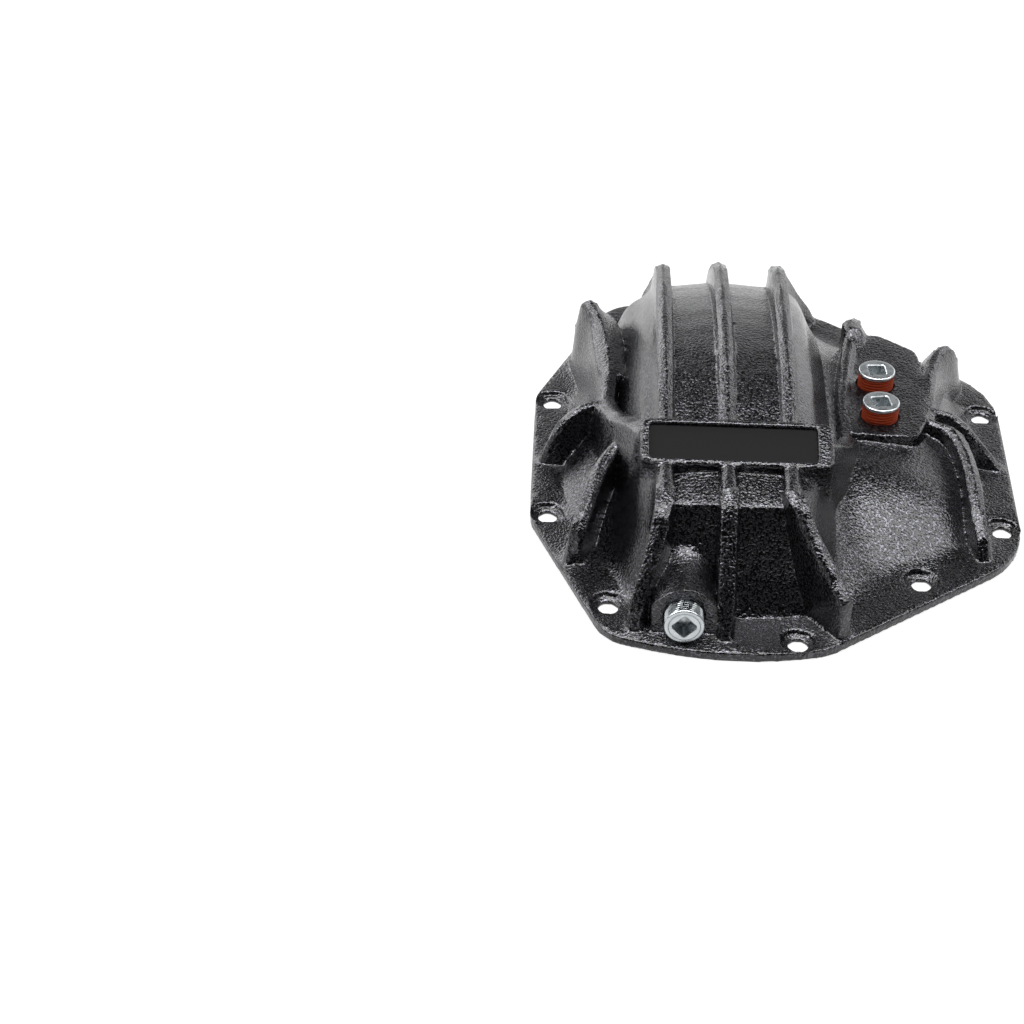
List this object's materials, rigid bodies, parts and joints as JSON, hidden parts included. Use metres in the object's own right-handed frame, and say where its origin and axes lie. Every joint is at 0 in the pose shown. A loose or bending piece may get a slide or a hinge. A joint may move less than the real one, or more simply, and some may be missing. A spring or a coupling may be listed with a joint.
{
  "type": "differential cover",
  "caption": "Ribbed cast cover for the back of a drive axle, with a bolted flange, two threaded fill plugs, a drain plug and a bare name plate",
  "frame": {"origin": "middle of the flange's outline, on the mating face", "axes": "+Z out of the axle, away from the mating face; +Y along the ribs, away from the drain plug; +X across the ribs, towards the fill plugs"},
  "size_m": [0.3414, 0.4478, 0.109],
  "materials": {
    "coated_casting": "gloss dark grey hammertone coat",
    "plate": "satin black, bare",
    "plug_steel": "bright zinc plate"
  },
  "bodies": {
    "root": {"cover_casting": "coated_casting", "name_plate": "plate", "fill_plug_upper": "plug_steel", "fill_plug_lower": "plug_steel", "drain_plug": "plug_steel"}
  },
  "joints": []
}
